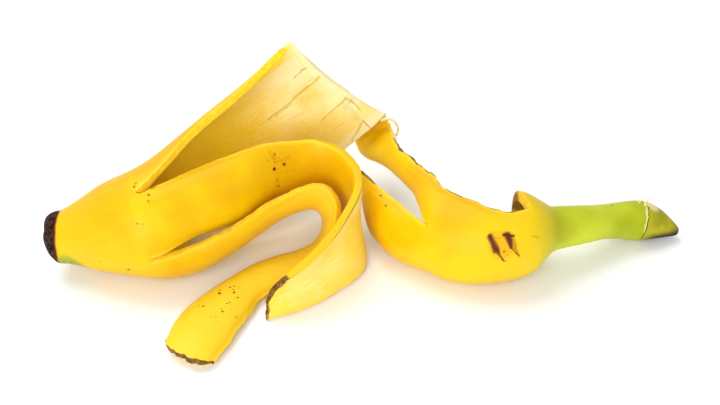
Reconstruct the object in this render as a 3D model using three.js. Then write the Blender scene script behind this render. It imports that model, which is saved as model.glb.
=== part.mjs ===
// A banana peel, torn from the stem end into strips and dropped on a table.
// Millimetres, +Z up, origin at the middle of its footprint on the table.
// The peel is one piece: a closed cone at the blossom end that splits into three strips,
// and a solid stem whose collar opens out and splits into two strips. One strip joins them.
import * as THREE from 'three';
import { mergeVertices } from 'three/addons/utils/BufferGeometryUtils.js';

// ---- driving dimensions
const peelThickness = 3.2;
const blossomConeRadius = 17.3; // middle of the peel, where the cone splits into strips
const blossomSolidEnd = -91; // the cone is solid on the blossom side of this x
const collarRadius = 11.8; // middle of the peel, where the stem collar opens
const neckRadius = 4.6; // middle of the peel at the thinnest place of the neck
const stemSolidStart = 61; // the neck is solid on the stem side of this x
const coneHollowTip = new THREE.Vector3(-93.5, -4, 12.6);
const collarHollowTip = new THREE.Vector3(65, -1, 13.8);

// ---- facets
const ringSides = 40;
const tubeRowsPerSpan = 2;
const backStripRows = 14;
const highStripRows = 24;
const lowStripRows = 28;
const collarRows = 6;
const pointedStripRows = 9;
const bridgeRows = 30;
const weldDistance = 1e-3;

// ---- angles around a tube: 0 faces -Y, 90 faces up, 180 faces +Y
const sideAngle = 360 / ringSides;
const firstTear = 3; // turns the three tears together
const lowTear = firstTear - 11 * sideAngle; // between the back strip and the low strip
const frontTear = firstTear - sideAngle; // between the low strip and the high strip
const topTear = firstTear + 7 * sideAngle; // between the high strip and the back strip
const collarLowEdge = -12 * sideAngle;
const collarTopEdge = 8 * sideAngle;

const backStripColumns = (lowTear + 360 - topTear) / sideAngle;
const highStripColumns = (topTear - frontTear) / sideAngle;
const lowStripColumns = (frontTear - lowTear) / sideAngle;
const collarColumns = (collarTopEdge - collarLowEdge) / sideAngle;
const bridgeColumns = 6; // the strip that joins the collar to the back strip
const pointColumns = collarColumns - bridgeColumns; // the pointed strip beside it

// ---- curves
const point = (x, y, z) => new THREE.Vector3(x, y, z);

// A smooth value at place t of a list, t = 1 being the second entry.
function between(values, t) {
  const i = Math.min(Math.floor(t), values.length - 2);
  const f = t - i;
  const here = values[i];
  const next = values[i + 1];
  const before = i > 0 ? values[i - 1] : 2 * here - next;
  const after = i + 2 < values.length ? values[i + 2] : 2 * next - here;
  const bend = 2 * before - 5 * here + 4 * next - after;
  const twist = 3 * (here - next) + after - before;
  return here + 0.5 * f * (next - before + f * (bend + f * twist));
}

function pointBetween(points, t) {
  return point(
    between(points.map((p) => p.x), t),
    between(points.map((p) => p.y), t),
    between(points.map((p) => p.z), t),
  );
}

// ---- tubes: a list of rings, each with a centre and a radius
const ring = (x, y, z, radius) => ({ centre: point(x, y, z), radius });

function tubePoint(rings, t, degrees) {
  const centres = rings.map((r) => r.centre);
  const step = 1e-3;
  const ahead = pointBetween(centres, Math.min(t + step, rings.length - 1));
  const axis = ahead.sub(pointBetween(centres, Math.max(t - step, 0))).normalize();
  const up = point(0, 0, 1).addScaledVector(axis, -axis.z).normalize();
  const front = axis.clone().cross(up);
  const radius = between(rings.map((r) => r.radius), t);
  const angle = THREE.MathUtils.degToRad(degrees);
  return pointBetween(centres, t)
    .addScaledVector(front, radius * Math.cos(angle))
    .addScaledVector(up, radius * Math.sin(angle));
}

function tubeGrid(rings, start, end, rowsPerSpan, firstAngle) {
  const rows = [];
  for (let i = 0; i <= (end - start) * rowsPerSpan; i += 1) {
    const row = [];
    for (let j = 0; j <= ringSides; j += 1) {
      row.push(tubePoint(rings, start + i / rowsPerSpan, firstAngle + j * sideAngle));
    }
    rows.push(row);
  }
  return rows;
}

// ---- strips: a list of stations, each an arc from the first torn edge to the second,
// whose middle stands off the straight line between them by the belly
const station = (first, second, belly) => ({
  first: point(...first),
  second: point(...second),
  belly: point(...belly),
});

function arcPoint(arc, w) {
  const chord = arc.second.clone().sub(arc.first);
  const half = chord.length() / 2;
  const along = chord.normalize();
  const out = arc.belly.clone().addScaledVector(along, -along.dot(arc.belly));
  const height = out.length();
  out.normalize();
  const radius = (half * half + height * height) / (2 * height);
  const angle = (2 * w - 1) * Math.atan2(half, radius - height);
  return arc.first.clone().add(arc.second).multiplyScalar(0.5)
    .addScaledVector(along, radius * Math.sin(angle))
    .addScaledVector(out, radius * Math.cos(angle) - radius + height);
}

function arcThrough(start, middle, end) {
  const belly = middle.clone().sub(start.clone().add(end).multiplyScalar(0.5));
  return { first: start, second: end, belly };
}

function partOfArc(arc, from, to) {
  return arcThrough(arcPoint(arc, from), arcPoint(arc, (from + to) / 2), arcPoint(arc, to));
}

function partOfRing(rings, t, from, to) {
  return arcThrough(
    tubePoint(rings, t, from),
    tubePoint(rings, t, (from + to) / 2),
    tubePoint(rings, t, to),
  );
}

function arcBetween(stations, t) {
  return {
    first: pointBetween(stations.map((s) => s.first), t),
    second: pointBetween(stations.map((s) => s.second), t),
    belly: pointBetween(stations.map((s) => s.belly), t),
  };
}

// The last row is cut back by cut(w), a share of one span, to shape the torn end.
function stripGrid(stations, start, end, rowCount, columnCount, cut = () => 0) {
  const rows = [];
  for (let i = 0; i <= rowCount; i += 1) {
    const row = [];
    for (let j = 0; j <= columnCount; j += 1) {
      const w = j / columnCount;
      const t = start + ((end - start - cut(w)) * i) / rowCount;
      row.push(arcPoint(arcBetween(stations, t), w));
    }
    rows.push(row);
  }
  return rows;
}

// ---- the cone at the blossom end
const cone = [
  ring(-99.2, -4, 11.3, 0),
  ring(-98.9, -4, 11.4, 4.2),
  ring(-97.4, -4, 11.7, 6.7),
  ring(-94.5, -4, 12.1, 7.3),
  ring(-90, -4, 12.9, 8.8),
  ring(-83, -4, 14.4, 11.8),
  ring(-75, -4, 16.6, 14.6),
  ring(-65.5, -4.2, 18.8, blossomConeRadius),
];
const coneEnd = cone.length - 1;

// ---- the stem: rings from the open collar to the torn tip
const stem = [
  ring(26.5, -2, 13.6, 13),
  ring(36.5, -6.3, 13.9, 13.4),
  ring(46, -6.4, 14.4, 12.8),
  ring(52.5, -4.8, 14.9, collarRadius),
  ring(57, -3.7, 14.8, 8.7),
  ring(61, -2.6, 14.4, 6),
  ring(66, -0.6, 13.7, 5.3),
  ring(73, 2.7, 12.1, 4.8),
  ring(80, 6.5, 10.2, 4.3),
  ring(87, 9.8, 8.2, neckRadius),
  ring(93.5, 11.7, 6.5, 5),
  ring(98, 11.9, 5.4, 3.9),
  ring(102, 11.4, 4.2, 2),
  ring(105, 10.9, 3.2, 0.4),
  ring(105.4, 10.8, 3.1, 0),
];
const collarRing = 3;
const stemEnd = stem.length - 1;

const coneRoot = (from, to) => [
  partOfRing(cone, coneEnd - 1, from, to),
  partOfRing(cone, coneEnd, from, to),
];

// ---- the back strip: stands up behind, inside to the front, torn across at its far end
const backStrip = [
  ...coneRoot(topTear, lowTear + 360),
  station([-53, 8.5, 43], [-54, 15, 0.3], [0, 15.5, 4]),
  station([-39, 21, 50], [-36, 27, 0.3], [-3, 13.5, 2.5]),
  station([-28, 31, 57.5], [-15, 33.5, 11], [-3.5, 7.7, 0]),
  station([-22.5, 37, 60.5], [8, 45.5, 26], [-1.3, 2.1, -0.5]),
];
const backStripEnd = backStrip.length - 1;
const bridgeShare = 1 - bridgeColumns / backStripColumns;
const foldSetback = 0.2; // the fold starts this share of a span short of the torn end
const foldPlace = backStripEnd - foldSetback;

// ---- the high strip: loops round to the front and comes back with its inside out
const highStrip = [
  ...coneRoot(frontTear, topTear),
  station([-52, -11.8, 19.4], [-52, 1, 34.3], [0, -5.4, 2.7]),
  station([-39, -1.5, 17.5], [-38, 8.5, 36], [0, -5.6, 2.3]),
  station([-26, 13.5, 17.5], [-27, 14.5, 36], [0, -5.4, 0]),
  station([-14, 22.5, 9.5], [-14, 17.5, 35], [0, -3.9, -0.8]),
  station([-5.5, 16, 5], [-4.5, 11.5, 34], [-1, -1.5, 0]),
  station([0.4, 4.5, 2.5], [-0.8, 2.6, 32], [-1.5, -0.2, 0]),
  station([0, -8, 1], [-2.2, -7, 29], [-1.8, 0.8, 0]),
  station([-13, -22, 0.3], [-13, -23.2, 21.5], [-2.4, 3.2, 0]),
  station([-30, -31, 0.3], [-25, -30.5, 15], [-1.1, 1.7, 0]),
];

// ---- the low strip: arches off the table, folds down and lies back with its outside up
const lowStrip = [
  ...coneRoot(lowTear, frontTear),
  station([-52, -1, 3.5], [-52, -16.5, 18.2], [0, -4, -4]),
  station([-39, 7.5, 8], [-39, -8.5, 20.5], [0, -3.6, -4.6]),
  station([-26, 13.5, 13.2], [-26, 1, 24], [0, -3, -3.6]),
  station([-15, 13.5, 13.5], [-13.5, 4.5, 27], [-0.7, -2.6, -2.6]),
  station([-10.5, 11.5, 7.5], [-7, 0.5, 20.5], [-2, -1, -1.2]),
  station([-12.5, 7, 3], [-10.5, -7.5, 6], [-1, -0.3, 1.6]),
  station([-19, 1.8, 1.6], [-19, -15, 1.6], [0, 0, 2]),
  station([-34, -6.5, 1.6], [-31, -22, 1.6], [0, 0, 2.5]),
  station([-53, -27, 1.6], [-37, -36, 1.6], [0, 0, 3]),
  station([-60.3, -47.2, 1.6], [-46.5, -57.5, 1.6], [0, 0, 2]),
];

// ---- the collar: a wide open trough from the stem to the far end of the slit
const slitArc = partOfRing(stem, 0, -105, 102);
const collar = [
  station([15, 8.5, 1.2], [18, 16, 25], [-8, -9.5, -1]),
  slitArc,
  partOfRing(stem, 1, -108, 90),
  partOfRing(stem, 2, collarLowEdge, collarTopEdge),
  partOfRing(stem, collarRing, collarLowEdge, collarTopEdge),
  partOfRing(stem, collarRing + 1, collarLowEdge, collarTopEdge),
];
const slitShare = pointColumns / collarColumns;

// ---- the pointed strip: the low part of the trough, tapering to a tip behind the loop
const pointedStrip = [
  partOfArc(collar[2], 0, slitShare),
  partOfArc(slitArc, 0, slitShare),
  station([15, 4, 0.8], [14, 3, 18.5], [-4.5, -6.5, -1.9]),
  station([7, 8.6, 0.8], [5.5, 16, 18.2], [-2.6, -2.6, -0.7]),
  station([3, 18, 3], [0.3, 27, 16.5], [-0.8, -0.8, 0]),
];

// ---- the bridge: folds over the torn end of the back strip and runs down to the trough
const bridge = [
  partOfArc(arcBetween(backStrip, foldPlace - 0.15), bridgeShare, 1),
  partOfArc(arcBetween(backStrip, foldPlace), bridgeShare, 1),
  station([-3.8, 46.6, 33.4], [6.8, 46.5, 24.4], [0.2, -0.2, -0.5]),
  station([-4.6, 49.2, 30.5], [9, 49.4, 23.8], [-0.1, -0.3, -0.6]),
  station([-3.6, 50, 25], [10, 50.6, 20.4], [-0.2, -0.6, -0.8]),
  station([-2.4, 49.4, 19], [10.8, 48.8, 18.3], [-0.3, -1, -0.3]),
  station([-0.8, 47.2, 14.3], [11.4, 45.5, 19.5], [-0.4, -1.6, 0]),
  station([2, 42, 12.5], [12.4, 38, 21.8], [-0.8, -1.8, 0]),
  station([8, 35.5, 14], [14, 29, 23.5], [-1.1, -1.6, 0]),
  station([14, 25.5, 15.5], [18.5, 20.5, 24.5], [-1.4, -1.4, 0]),
  station([18.8, 9.5, 19], [23.5, 10.5, 26], [-1.2, -0.8, 0.5]),
  partOfArc(slitArc, slitShare, 1),
  partOfArc(collar[2], slitShare, 1),
];

// ---- torn ends: the middle of the low strip's end reaches furthest, and the back strip's
// end is hollowed a little and falls away to where the bridge folds over
const roundDepth = 0.2;
const hollowDepth = 0.07;
const foldSharpness = 12;

const roundedEnd = (w) => roundDepth * (2 * w - 1) ** 2;

function backStripCut(w) {
  const free = Math.min(w / bridgeShare, 1);
  return foldSetback * free ** foldSharpness + hollowDepth * (1 - (2 * free - 1) ** 2);
}

const grids = [
  tubeGrid(cone, 0, coneEnd, tubeRowsPerSpan, firstTear),
  tubeGrid(stem, collarRing, stemEnd, tubeRowsPerSpan, collarLowEdge),
  stripGrid(backStrip, 1, backStripEnd, backStripRows, backStripColumns, backStripCut),
  stripGrid(highStrip, 1, highStrip.length - 1, highStripRows, highStripColumns),
  stripGrid(lowStrip, 1, lowStrip.length - 1, lowStripRows, lowStripColumns, roundedEnd),
  stripGrid(collar, 1, collarRing + 1, collarRows, collarColumns),
  stripGrid(pointedStrip, 1, pointedStrip.length - 1, pointedStripRows, pointColumns).reverse(),
  stripGrid(bridge, 1, bridge.length - 2, bridgeRows, bridgeColumns),
];

// ---- the middle surface of the peel: every grid as triangles facing out, welded together
function middleSurface() {
  const positions = [];
  const corner = (p) => positions.push(p.x, p.y, p.z);
  for (const rows of grids) {
    for (let i = 0; i + 1 < rows.length; i += 1) {
      for (let j = 0; j + 1 < rows[i].length; j += 1) {
        [rows[i][j], rows[i + 1][j], rows[i][j + 1]].forEach(corner);
        [rows[i][j + 1], rows[i + 1][j], rows[i + 1][j + 1]].forEach(corner);
      }
    }
  }
  const surface = new THREE.BufferGeometry();
  surface.setAttribute('position', new THREE.Float32BufferAttribute(positions, 3));
  const welded = mergeVertices(surface, weldDistance);
  welded.computeVertexNormals();
  return welded;
}

const isFlat = ([a, b, c]) => a === b || b === c || c === a;

function trianglesOf(geometry) {
  const triangles = [];
  for (let i = 0; i < geometry.index.count; i += 3) {
    triangles.push([0, 1, 2].map((k) => geometry.index.getX(i + k)));
  }
  return triangles.filter((triangle) => !isFlat(triangle));
}

// ---- thickness: an outer and an inner copy of the middle surface, joined at torn edges.
// At the solid ends all inner vertices meet in one point, and their triangles vanish.
function thicken(surface) {
  const count = surface.attributes.position.count;
  const outer = [];
  const inner = [];
  for (let i = 0; i < count; i += 1) {
    const middle = new THREE.Vector3().fromBufferAttribute(surface.attributes.position, i);
    const normal = new THREE.Vector3().fromBufferAttribute(surface.attributes.normal, i);
    outer.push(middle.clone().addScaledVector(normal, peelThickness / 2));
    if (middle.x < blossomSolidEnd) {
      inner.push(coneHollowTip);
    } else if (middle.x > stemSolidStart) {
      inner.push(collarHollowTip);
    } else {
      inner.push(middle.clone().addScaledVector(normal, -peelThickness / 2));
    }
  }
  const skin = trianglesOf(surface);
  const faces = [];
  const edges = new Set(skin.flatMap(([a, b, c]) => [`${a},${b}`, `${b},${c}`, `${c},${a}`]));
  for (const [a, b, c] of skin) {
    faces.push([a, b, c], [a + count, c + count, b + count]);
    for (const [from, to] of [[a, b], [b, c], [c, a]]) {
      if (!edges.has(`${to},${from}`)) {
        faces.push([to, from, from + count], [to, from + count, to + count]);
      }
    }
  }
  const solid = new THREE.BufferGeometry().setFromPoints([...outer, ...inner]);
  solid.setIndex(faces.flat());
  return solid;
}

// ---- the table: whatever would reach below it is pressed flat on it
function pressOnTable(geometry) {
  const { position } = geometry.attributes;
  for (let i = 0; i < position.count; i += 1) {
    position.setZ(i, Math.max(position.getZ(i), 0));
  }
}

function peelGeometry() {
  const solid = thicken(middleSurface());
  pressOnTable(solid);
  const welded = mergeVertices(solid, weldDistance);
  welded.setIndex(trianglesOf(welded).flat());
  welded.computeBoundingBox();
  const centre = welded.boundingBox.getCenter(new THREE.Vector3());
  welded.translate(-centre.x, -centre.y, 0);
  welded.computeVertexNormals();
  return welded;
}

const peel = new THREE.Mesh(
  peelGeometry(),
  new THREE.MeshStandardMaterial({ color: 0xf2c413, roughness: 0.45, metalness: 0 }),
);
peel.name = 'banana_peel';

const group = new THREE.Group();
group.add(peel);

export default group;
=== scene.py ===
# %% [markdown]
# # A banana peel on a table
#
# A peel that has been torn open lies on a table. It is one piece: a closed cone at the
# blossom end that splits into three strips, and a solid stem whose collar opens out and
# splits into two strips. One strip, the bridge, joins the two halves.
#
# The CAD model gives the size and the place. This script makes the same peel again with
# many more faces, with ragged torn edges, and with the finishes of its waxy outside, its
# fibrous inside and its drying ends.

# %% Load the frame
import math

import bpy
import numpy as np
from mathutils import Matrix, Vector


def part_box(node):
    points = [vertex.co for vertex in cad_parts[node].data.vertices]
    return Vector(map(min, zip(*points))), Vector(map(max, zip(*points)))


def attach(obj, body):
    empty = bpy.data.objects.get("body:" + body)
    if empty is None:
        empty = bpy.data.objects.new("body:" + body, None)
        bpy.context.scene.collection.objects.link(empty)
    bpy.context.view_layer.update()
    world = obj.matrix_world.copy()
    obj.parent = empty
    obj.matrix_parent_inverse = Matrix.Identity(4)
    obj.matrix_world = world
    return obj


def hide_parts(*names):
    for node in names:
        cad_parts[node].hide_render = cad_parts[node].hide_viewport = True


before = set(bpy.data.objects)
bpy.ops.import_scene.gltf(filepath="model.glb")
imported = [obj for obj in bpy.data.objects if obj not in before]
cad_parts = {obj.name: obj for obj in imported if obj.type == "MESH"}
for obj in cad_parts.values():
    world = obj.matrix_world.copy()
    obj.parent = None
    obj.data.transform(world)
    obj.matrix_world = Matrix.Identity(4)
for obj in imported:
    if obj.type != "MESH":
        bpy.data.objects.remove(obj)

MM = 0.001
cad_low, cad_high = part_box("banana_peel")
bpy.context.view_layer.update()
print("CAD box, mm:", [round(v / MM, 1) for v in (*cad_low, *cad_high)])

# %% [markdown]
# ## Sizes
#
# All lengths are in millimetres while the peel is shaped, because that is how one thinks
# of a fruit. They become metres at the very end. A fresh peel is about 3 mm thick. The
# cone and the stem are tubes cut into `SIDES` columns; `FINE` splits each column and row
# again, so that the mesh is dense enough for ragged edges.

# %% Sizes
PEEL_THICKNESS = 3.2
BLOSSOM_SOLID_END = -91
STEM_SOLID_START = 61
SIDES = 40
FINE = 4
SIDE_ANGLE = 360 / SIDES
FIRST_TEAR = 3
LOW_TEAR = FIRST_TEAR - 11 * SIDE_ANGLE
FRONT_TEAR = FIRST_TEAR - SIDE_ANGLE
TOP_TEAR = FIRST_TEAR + 7 * SIDE_ANGLE
COLLAR_LOW_EDGE = -12 * SIDE_ANGLE
COLLAR_TOP_EDGE = 8 * SIDE_ANGLE
LOW_COLUMNS, HIGH_COLUMNS, BACK_COLUMNS = 10, 8, 22
COLLAR_COLUMNS, BRIDGE_COLUMNS = 20, 6
POINT_COLUMNS = COLLAR_COLUMNS - BRIDGE_COLUMNS
SKIN_COLUMN = 2.7  # width of one column where the cone splits
COLLAR_COLUMN = 2.0  # width of one column at the collar
WELD_DISTANCE = 0.02  # vertices closer than this are one
CORNER_ROUND = 0.55  # how far a torn edge is rounded
CORNER_ANGLE = math.radians(48)  # only edges sharper than this are rounded
print("columns round the cone:", LOW_COLUMNS + HIGH_COLUMNS + BACK_COLUMNS)

# %% [markdown]
# ## Curves
#
# A torn strip bends in every direction, so it is described by a few arcs across it. Each
# arc runs from the first torn edge to the second and bulges by its belly. Between the
# arcs everything is blended with a Catmull-Rom curve, which passes through each value
# without corners. The tubes are rings with a centre and a radius, blended the same way.
# Working on whole arrays at once keeps this fast.

# %% Curves
def between(values, place):
    """Smooth values at each place along a list; place 1 is the second entry."""
    values = np.asarray(values, float)
    place = np.asarray(place, float)
    index = np.clip(np.floor(place).astype(int), 0, len(values) - 2)
    f = (place - index).reshape(place.shape + (1,) * (values.ndim - 1))
    padded = np.concatenate([2 * values[:1] - values[1:2], values, 2 * values[-1:] - values[-2:-1]])
    before, here, after, beyond = (padded[index + k] for k in range(4))
    bend = 2 * before - 5 * here + 4 * after - beyond
    twist = 3 * (here - after) + beyond - before
    return here + 0.5 * f * (after - before + f * (bend + f * twist))


def tube_point(rings, place, degrees):
    """Points on a tube. Angle 0 faces -Y, 90 faces up and 180 faces +Y."""
    rings = np.asarray(rings, float)
    place, degrees = np.broadcast_arrays(np.asarray(place, float), np.asarray(degrees, float))
    step = 1e-3
    ahead = between(rings, np.minimum(place + step, len(rings) - 1))
    behind = between(rings, np.maximum(place - step, 0))
    axis = ahead[..., :3] - behind[..., :3]
    axis /= np.linalg.norm(axis, axis=-1, keepdims=True)
    up = np.array([0, 0, 1]) - axis * axis[..., 2:]
    up /= np.linalg.norm(up, axis=-1, keepdims=True)
    front = np.cross(axis, up)
    here = between(rings, place)
    angle = np.radians(degrees)[..., None]
    return here[..., :3] + here[..., 3:] * (front * np.cos(angle) + up * np.sin(angle))


def arc_point(arc, share):
    """Points on arcs [first edge, second edge, belly] at a share of their width."""
    arc = np.asarray(arc, float)
    first, second, belly = arc[..., 0, :], arc[..., 1, :], arc[..., 2, :]
    chord = second - first
    length = np.linalg.norm(chord, axis=-1, keepdims=True)
    along = chord / length
    out = belly - along * (along * belly).sum(-1, keepdims=True)
    height = np.linalg.norm(out, axis=-1, keepdims=True)
    out = out / height
    radius = (length**2 / 4 + height**2) / (2 * height)
    angle = (2 * np.asarray(share)[..., None] - 1) * np.arctan2(length / 2, radius - height)
    middle = (first + second) / 2
    return middle + along * radius * np.sin(angle) + out * (radius * (np.cos(angle) - 1) + height)


def arc_through(start, middle, end):
    return np.array([start, end, middle - (start + end) / 2])


def part_of_arc(arc, start, end):
    return arc_through(*(arc_point(arc, np.float64(w)) for w in (start, (start + end) / 2, end)))


def part_of_ring(rings, place, start, end):
    return arc_through(*(tube_point(rings, place, a) for a in (start, (start + end) / 2, end)))


print("halfway between 1, 2 and 4:", between([[1.0], [2.0], [4.0]], 0.5))

# %% [markdown]
# ## The plan of the peel
#
# These tables are the whole shape. `cone` and `stem` list rings as x, y, z and radius.
# Each strip lists its arcs from where it leaves the tube to where it is torn off. The
# high strip loops to the front and comes back inside out; the low strip arches, folds
# and lies back with its yellow side up; the back strip stands, and the bridge folds over
# its torn end and runs down to the collar.

# %% Tubes
cone = [
    (-99.2, -4, 11.3, 0), (-98.9, -4, 11.4, 4.2), (-97.4, -4, 11.7, 6.7),
    (-94.5, -4, 12.1, 7.3), (-90, -4, 12.9, 8.8), (-83, -4, 14.4, 11.8),
    (-75, -4, 16.6, 14.6), (-65.5, -4.2, 18.8, 17.3),
]
cone_end = len(cone) - 1
stem = [
    (26.5, -2, 13.6, 13), (36.5, -6.3, 13.9, 13.4), (46, -6.4, 14.4, 12.8),
    (52.5, -4.8, 14.9, 11.8), (57, -3.7, 14.8, 8.7), (61, -2.6, 14.4, 6),
    (66, -0.6, 13.7, 5.3), (73, 2.7, 12.1, 4.8), (80, 6.5, 10.2, 4.3),
    (87, 9.8, 8.2, 4.6), (93.5, 11.7, 6.5, 5), (98, 11.9, 5.4, 3.9),
    (102, 11.4, 4.2, 2), (105, 10.9, 3.2, 0.4), (105.4, 10.8, 3.1, 0),
]
collar_ring = 3
stem_end = len(stem) - 1


def cone_root(start, end):
    """The two arcs on the cone from which a strip grows, so that it leaves smoothly."""
    return [part_of_ring(cone, cone_end - 1, start, end), part_of_ring(cone, cone_end, start, end)]


print("peel length along x, mm:", round(stem[-1][0] - cone[0][0], 1))

# %% Strips of the blossom end
back_strip = cone_root(TOP_TEAR, LOW_TEAR + 360) + [
    [(-53, 8.5, 43), (-54, 15, 0.3), (0, 15.5, 4)],
    [(-39, 21, 50), (-36, 27, 0.3), (-3, 13.5, 2.5)],
    [(-28, 31, 57.5), (-15, 33.5, 11), (-3.5, 7.7, 0)],
    [(-22.5, 37, 60.5), (8, 45.5, 26), (-1.3, 2.1, -0.5)],
]
high_strip = cone_root(FRONT_TEAR, TOP_TEAR) + [
    [(-52, -11.8, 19.4), (-52, 1, 34.3), (0, -5.4, 2.7)],
    [(-39, -1.5, 17.5), (-38, 8.5, 36), (0, -5.6, 2.3)],
    [(-26, 13.5, 17.5), (-27, 14.5, 36), (0, -5.4, 0)],
    [(-14, 22.5, 9.5), (-14, 17.5, 35), (0, -3.9, -0.8)],
    [(-5.5, 16, 5), (-4.5, 11.5, 34), (-1, -1.5, 0)],
    [(0.4, 4.5, 2.5), (-0.8, 2.6, 32), (-1.5, -0.2, 0)],
    [(0, -8, 1), (-2.2, -7, 29), (-1.8, 0.8, 0)],
    [(-13, -22, 0.3), (-13, -23.2, 21.5), (-2.4, 3.2, 0)],
    [(-30, -31, 0.3), (-25, -30.5, 15), (-1.1, 1.7, 0)],
]
low_strip = cone_root(LOW_TEAR, FRONT_TEAR) + [
    [(-52, -1, 3.5), (-52, -16.5, 18.2), (0, -4, -4)],
    [(-39, 7.5, 8), (-39, -8.5, 20.5), (0, -3.6, -4.6)],
    [(-26, 13.5, 13.2), (-26, 1, 24), (0, -3, -3.6)],
    [(-15, 13.5, 13.5), (-13.5, 4.5, 27), (-0.7, -2.6, -2.6)],
    [(-10.5, 11.5, 7.5), (-7, 0.5, 20.5), (-2, -1, -1.2)],
    [(-12.5, 7, 3), (-10.5, -7.5, 6), (-1, -0.3, 1.6)],
    [(-19, 1.8, 1.6), (-19, -15, 1.6), (0, 0, 2)],
    [(-34, -6.5, 1.6), (-31, -22, 1.6), (0, 0, 2.5)],
    [(-53, -27, 1.6), (-37, -36, 1.6), (0, 0, 3)],
    [(-60.3, -47.2, 1.6), (-46.5, -57.5, 1.6), (0, 0, 2)],
]
back_end = len(back_strip) - 1
bridge_share = 1 - BRIDGE_COLUMNS / BACK_COLUMNS
FOLD_SETBACK = 0.2
fold_place = back_end - FOLD_SETBACK
print("arcs:", len(back_strip), len(high_strip), len(low_strip))

# %% Strips of the stem end
slit_arc = part_of_ring(stem, 0, -105, 102)
collar = [
    [(15, 8.5, 1.2), (18, 16, 25), (-8, -9.5, -1)],
    slit_arc,
    part_of_ring(stem, 1, -108, 90),
    part_of_ring(stem, 2, COLLAR_LOW_EDGE, COLLAR_TOP_EDGE),
    part_of_ring(stem, collar_ring, COLLAR_LOW_EDGE, COLLAR_TOP_EDGE),
    part_of_ring(stem, collar_ring + 1, COLLAR_LOW_EDGE, COLLAR_TOP_EDGE),
]
slit_share = POINT_COLUMNS / COLLAR_COLUMNS
pointed_strip = [
    part_of_arc(collar[2], 0, slit_share),
    part_of_arc(slit_arc, 0, slit_share),
    [(15, 4, 0.8), (14, 3, 18.5), (-4.5, -6.5, -1.9)],
    [(7, 8.6, 0.8), (5.5, 16, 18.2), (-2.6, -2.6, -0.7)],
    [(3, 18, 3), (0.3, 27, 16.5), (-0.8, -0.8, 0)],
]
bridge = [
    part_of_arc(between(back_strip, fold_place - 0.15), bridge_share, 1),
    part_of_arc(between(back_strip, fold_place), bridge_share, 1),
    [(-3.8, 46.6, 33.4), (6.8, 46.5, 24.4), (0.2, -0.2, -0.5)],
    [(-4.6, 49.2, 30.5), (9, 49.4, 23.8), (-0.1, -0.3, -0.6)],
    [(-3.6, 50, 25), (10, 50.6, 20.4), (-0.2, -0.6, -0.8)],
    [(-2.4, 49.4, 19), (10.8, 48.8, 18.3), (-0.3, -1, -0.3)],
    [(-0.8, 47.2, 14.3), (11.4, 45.5, 19.5), (-0.4, -1.6, 0)],
    [(2, 42, 12.5), (12.4, 38, 21.8), (-0.8, -1.8, 0)],
    [(8, 35.5, 14), (14, 29, 23.5), (-1.1, -1.6, 0)],
    [(14, 25.5, 15.5), (18.5, 20.5, 24.5), (-1.4, -1.4, 0)],
    [(18.8, 9.5, 19), (23.5, 10.5, 26), (-1.2, -0.8, 0.5)],
    part_of_arc(slit_arc, slit_share, 1),
    part_of_arc(collar[2], slit_share, 1),
]
print("arcs:", len(collar), len(pointed_strip), len(bridge))

# %% [markdown]
# ## Ragged edges
#
# Peel tears along its fibres, so a torn edge wanders a little and has small burrs. Each
# edge is moved along the skin by a sum of sine waves of unrelated lengths, which looks
# random and is the same on every run. The wander fades out over a few millimetres
# towards the middle of the strip, and near the root, where strips have to meet the cone.

# %% Ragged edges
EDGE_WAVES = [(23.0, 0.45), (9.7, 0.3), (4.3, 0.2), (2.1, 0.12)]  # length in mm and share
EDGE_FADE = 5.0  # the wander dies out over this distance from the edge
ROOT_FADE = 12  # and over this distance from a joined end


def wander(along, seed):
    """A smooth random-looking value of about -1 to 1 at each length along an edge."""
    total = np.zeros_like(along, dtype=float)
    for i, (length, strength) in enumerate(EDGE_WAVES):
        total = total + strength * np.sin(2 * math.pi * along / length + seed * (i + 1) * 1.7)
    return total


def smooth_step(value, start, end):
    f = np.clip((value - start) / (end - start), 0, 1)
    return f * f * (3 - 2 * f)


print("wander at 0 to 4 mm:", np.round(wander(np.arange(5.0), 1), 2))

# %% [markdown]
# ## One patch
#
# A patch starts as a flat grid from `primitive_grid_add`, whose vertices already know
# their share of the width and the length. Each vertex is then moved to its place on the
# peel. Four attributes go with it. The finishes follow the fibres and not the room, so
# `fibre` holds the distance across the strip, along it and from the nearest torn edge, in
# millimetres. `dried` says how brown the peel has gone there, `lined` where a thin dark
# line follows an edge, and `wall` what share of the full thickness is left.

# %% One patch
def read_vectors(rows, key="co"):
    """The x, y and z of each vertex, or of each row of an attribute, as an array."""
    values = np.zeros(len(rows) * 3)
    rows.foreach_get(key, values)
    return values.reshape(-1, 3)


def lay_patch(name, place, rows, columns, facts):
    """Makes a grid and moves each vertex to place(share along, share across)."""
    bpy.ops.object.select_all(action="DESELECT")
    bpy.ops.mesh.primitive_grid_add(
        x_subdivisions=columns * FINE, y_subdivisions=rows * FINE, size=2, calc_uvs=False
    )
    patch = bpy.context.active_object
    patch.name = name
    flat = read_vectors(patch.data.vertices)
    across, along = np.round((flat[:, 0] + 1) / 2, 6), np.round((flat[:, 1] + 1) / 2, 6)
    patch.data.vertices.foreach_set("co", place(along, across).ravel())
    fibre, *shares = facts(along, across)
    patch.data.attributes.new("fibre", "FLOAT_VECTOR", "POINT").data.foreach_set(
        "vector", np.stack(fibre, -1).ravel()
    )
    for attribute, share in zip(("dried", "lined", "wall"), shares):
        patch.data.attributes.new(attribute, "FLOAT", "POINT").data.foreach_set("value", share)
    return patch


def nowhere(length, to_end, first, second):
    return 0 * length


print("a grid for each strip,", FINE, "faces for each column")

# %% [markdown]
# A strip is measured first: how long it is up to each arc, and how wide it is there. Then
# the wander of its edges and the thinning of its wall can be stated in millimetres. The
# real wall thins to a feather where it tears, so the edges and the torn end get less.

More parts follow.
